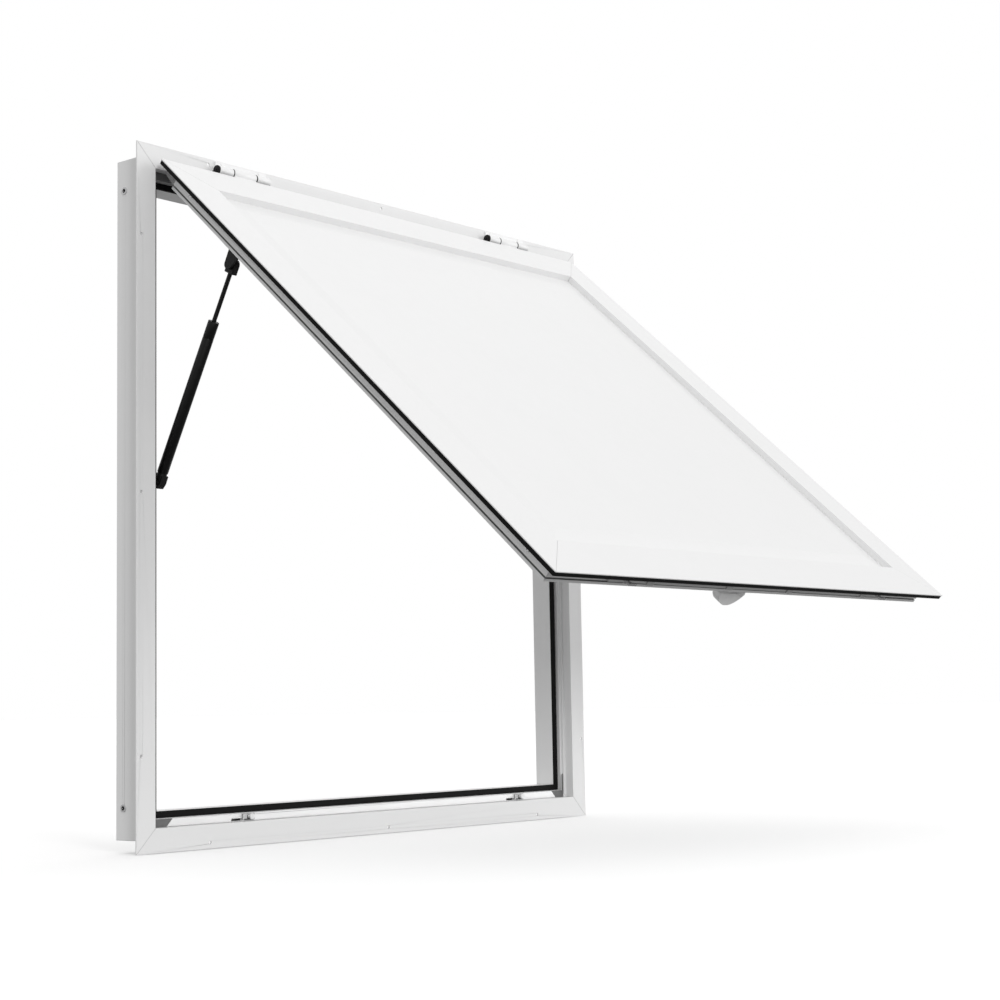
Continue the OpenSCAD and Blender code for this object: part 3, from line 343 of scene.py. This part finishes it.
def studio_paper(name, tone, glow):
    """Pale matt paper that shines a little by itself."""
    s = Shader(name)
    s.set("Base Color", s.mix(s.noise(6), grey(tone * 0.99), grey(tone)))
    s.set("Roughness", 0.9)
    s.set("Specular IOR Level", 0.1)
    s.set("Emission Color", grey(1.0))
    s.set("Emission Strength", glow)
    s.bump((s.noise(300, detail=2), 0.05, 0.1 * MM))
    return s.material


def corner_screw_sockets():
    """Where the driver recesses of the frame's corner screws are, as (y, z, radius)."""
    low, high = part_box("frame_corner_screws")
    head_r = (high.y - low.y) / 2
    recess_share = 0.55
    return ((high.y + low.y) / 2, high.z - head_r, head_r * recess_share)


FRAME_WHITE = powder_coat("frame_powder_coat", mitre_half=FLANGE_HALF)
SASH_WHITE = powder_coat(
    "sash_powder_coat", "sash", tone=0.82,
    mitre_half=SASH_HALF, mitre_dark=0.12, groove_y=SASH_GROOVE_Y,
)
PANEL_WHITE = powder_coat("panel_powder_coat", "sash", tone=0.82)
HINGE_WHITE = powder_coat("hinge_powder_coat", tone=0.84)
STRIP = anodised("sill_strip_anodised", 0.74)
BAR = anodised("lock_bar_anodised", 0.7, "sash")
KEY = anodised("corner_key_aluminium", 0.6, along="z")
ZINC = zinc_steel("zinc_plated_steel")
CORNER_SCREW = zinc_steel("corner_screw_steel", corner_screw_sockets())
FRAME_RUBBER = seal_rubber("frame_seal_rubber", "row", FLANGE_HALF)
SASH_RUBBER = seal_rubber("sash_seal_rubber", "sash", SASH_HALF)
DARK_PLASTIC = moulded_plastic("corner_block_plastic", 0.13)
BLACK_PLASTIC = moulded_plastic("black_plastic", 0.007, gloss=0.25)
GUIDE_PLASTIC = moulded_plastic("guide_plastic", 0.5, "sash")
STRUT_BLACK = black_enamel("strut_black_enamel")
ROD_BLACK = black_enamel("rod_black_nitride", tone=0.012, rough=0.24, metallic=0.3)
LEVER_GREY = cast_grey("lever_cast_grey", 0.8)
KEEPER_PLATE_LEFT = keeper_plate("keeper_plate_left_zinc", "keeper_left")
KEEPER_PLATE_RIGHT = keeper_plate("keeper_plate_right_zinc", "keeper_right")
KEEPER_STUD = keeper_stud("keeper_stud_finish", "keeper_left")

# Each row: the start of a node's name, its material, and the width in millimetres of its
# softened edges. The first row that fits a node is the one that counts.
LOOKS = [
    ("frame_corner_screws", CORNER_SCREW, 0.25),
    ("frame_corner_keys", KEY, 0),
    ("frame_seal", FRAME_RUBBER, 0),
    ("frame_", FRAME_WHITE, 0.2),
    ("sill_strip", STRIP, 0.2),
    ("corner_blocks", DARK_PLASTIC, 0.25),
    ("keeper_studs", KEEPER_STUD, 0.3),
    ("keeper_left", KEEPER_PLATE_LEFT, 0.2),
    ("keeper_right", KEEPER_PLATE_RIGHT, 0.2),
    ("hinge_caps", BLACK_PLASTIC, 0.4),
    ("hinge_washers", BLACK_PLASTIC, 0),
    ("hinge_pin", ZINC, 0),
    ("hinge_", HINGE_WHITE, 0.35),
    ("sash_corner_screws", ZINC, 0.25),
    ("sash_corner_keys", KEY, 0),
    ("sash_seal", SASH_RUBBER, 0),
    ("sash_", SASH_WHITE, 0.2),
    ("panel_spacer", BLACK_PLASTIC, 0),
    ("panel_", PANEL_WHITE, 0),
    ("lock_hook", ZINC, 0.25),
    ("lock_rack", ZINC, 0),
    ("lock_pinion", ZINC, 0),
    ("lock_bar_guides", GUIDE_PLASTIC, 0.25),
    ("lock_bar", BAR, 0.3),
    ("handle_spindle", ZINC, 0),
    ("handle_screws", ZINC, 0.2),
    ("handle_", LEVER_GREY, 0.8),
    ("strut_frame_screws", ZINC, 0.25),
    ("strut_sash_screws", ZINC, 0.25),
    ("strut_left_rod", ROD_BLACK, 0),
    ("strut_right_rod", ROD_BLACK, 0),
    ("strut_left_cylinder", STRUT_BLACK, 0.9),
    ("strut_right_cylinder", STRUT_BLACK, 0.9),
    ("strut_left_piston", ZINC, 0),
    ("strut_right_piston", ZINC, 0),
    ("strut_", BLACK_PLASTIC, 0.5),
]

WELD_DISTANCE = 0.002 * MM
SHARP_ANGLE = math.radians(38)


def soften(obj, width_mm):
    """Rounds the sharp edges a little, as paint, moulding or deburring does."""
    weld = obj.modifiers.new("weld", "WELD")
    weld.merge_threshold = WELD_DISTANCE
    bevel = obj.modifiers.new("soft_edges", "BEVEL")
    bevel.width = width_mm * MM
    bevel.segments = 2
    bevel.limit_method = "ANGLE"
    bevel.angle_limit = SHARP_ANGLE
    bevel.use_clamp_overlap = True
    bevel.miter_outer = "MITER_SHARP"
    bevel.harden_normals = True


def dress():
    """Gives every CAD node its material and its soft edges."""
    for name, obj in frame["nodes"].items():
        material, edge = next((m, e) for start, m, e in LOOKS if name.startswith(start))
        obj.data.materials.clear()
        obj.data.materials.append(material)
        if edge:
            soften(obj, edge)


# ---------- stage, light and camera ----------

FLOOR_Z = cad_low.z - 1 * MM
FLOOR_RADIUS = 40.0
FLOOR_SIDES = 128
FLOOR_TONE = 0.93
FLOOR_GLOW = 0.22

# Strength of the sky below and above, and the heights of a direction between which it fades.
SKY_LOW, SKY_HIGH = 0.2, 0.81
SKY_FADE_FROM, SKY_FADE_TO = -0.6, 0.35

# Each row: a sun's name, the direction it shines from, its power in W/m2, its spread in degrees.
SUNS = [
    ("key", (-0.4, -0.9, 0.2), 1.08, 16),
    ("fill", (0.8, -0.6, 0.1), 0.62, 40),
    ("rim", (0.5, 0.7, 0.5), 0.25, 60),
]

# Direction in which the camera stands from the window, its roll, its place and its lens.
AZIMUTH, ELEVATION, ROLL = map(math.radians, (-49.82, -5.84, -1.02))
STAND = Vector((-2.1447, -2.0387, -0.2854))
LENS, SENSOR = 71.49, 36.0
CLIP_NEAR, CLIP_FAR = 0.05, 60


def studio_floor():
    """A pale floor as bright as the backdrop, so that no horizon shows."""
    angles = [2 * math.pi * i / FLOOR_SIDES for i in range(FLOOR_SIDES)]
    rim = [(FLOOR_RADIUS * math.cos(a), FLOOR_RADIUS * math.sin(a), FLOOR_Z) for a in angles]
    wedges = [(0, 1 + i, 1 + (i + 1) % FLOOR_SIDES) for i in range(FLOOR_SIDES)]
    mesh = bpy.data.meshes.new("studio_floor")
    mesh.from_pydata([(0.0, 0.0, FLOOR_Z)] + rim, [], wedges)
    obj = bpy.data.objects.new("studio_floor", mesh)
    bpy.context.collection.objects.link(obj)
    mesh.materials.append(studio_paper("studio_paper", FLOOR_TONE, FLOOR_GLOW))
    # The floor throws no light up and no shadow, so the undersides of the window stay in
    # soft shade.
    obj.visible_diffuse = False
    obj.visible_glossy = False
    obj.visible_shadow = False


def soft_sun(name, toward, power, spread):
    """Even light that comes from the direction `toward`, with soft shadows."""
    light = bpy.data.lights.new(name, "SUN")
    light.energy = power
    light.angle = math.radians(spread)
    obj = bpy.data.objects.new(name, light)
    obj.rotation_euler = Vector(toward).to_track_quat("Z", "Y").to_euler()
    bpy.context.collection.objects.link(obj)


def studio_sky():
    """A white surround for the camera, and light that fades from above to below."""
    world = bpy.data.worlds.new("studio_world")
    bpy.context.scene.world = world
    world.use_nodes = True
    tree = world.node_tree
    coords = tree.nodes.new("ShaderNodeTexCoord")
    parts = tree.nodes.new("ShaderNodeSeparateXYZ")
    fade = tree.nodes.new("ShaderNodeMapRange")
    ray = tree.nodes.new("ShaderNodeLightPath")
    choose = tree.nodes.new("ShaderNodeMix")
    background = tree.nodes["Background"]
    background.inputs["Color"].default_value = grey(1.0)
    for socket, value in zip(fade.inputs[1:5], (SKY_FADE_FROM, SKY_FADE_TO, SKY_LOW, SKY_HIGH)):
        socket.default_value = value
    choose.inputs[MIX_NUMBER_B].default_value = 1.0
    tree.links.new(coords.outputs["Generated"], parts.inputs[0])
    tree.links.new(parts.outputs["Z"], fade.inputs[0])
    tree.links.new(ray.outputs["Is Camera Ray"], choose.inputs[MIX_FACTOR])
    tree.links.new(fade.outputs[0], choose.inputs[MIX_NUMBER_A])
    tree.links.new(choose.outputs[MIX_NUMBER], background.inputs["Strength"])


def photo_camera():
    """The camera at the photograph's viewing angle."""
    back = Vector((
        math.sin(AZIMUTH) * math.cos(ELEVATION),
        -math.cos(AZIMUTH) * math.cos(ELEVATION),
        math.sin(ELEVATION),
    ))
    level_right = (-back).cross(Vector((0, 0, 1))).normalized()
    level_up = level_right.cross(-back)
    right = level_right * math.cos(ROLL) + level_up * math.sin(ROLL)
    up = level_up * math.cos(ROLL) - level_right * math.sin(ROLL)
    data = bpy.data.cameras.new("camera")
    data.lens, data.sensor_width = LENS, SENSOR
    data.clip_start, data.clip_end = CLIP_NEAR, CLIP_FAR
    obj = bpy.data.objects.new("camera", data)
    bpy.context.collection.objects.link(obj)
    obj.matrix_world = Matrix.Translation(STAND) @ Matrix((right, up, back)).transposed().to_4x4()
    bpy.context.scene.camera = obj


dress()
studio_floor()
studio_sky()
for sun in SUNS:
    soft_sun(*sun)
photo_camera()
bpy.context.scene.view_settings.view_transform = "Standard"
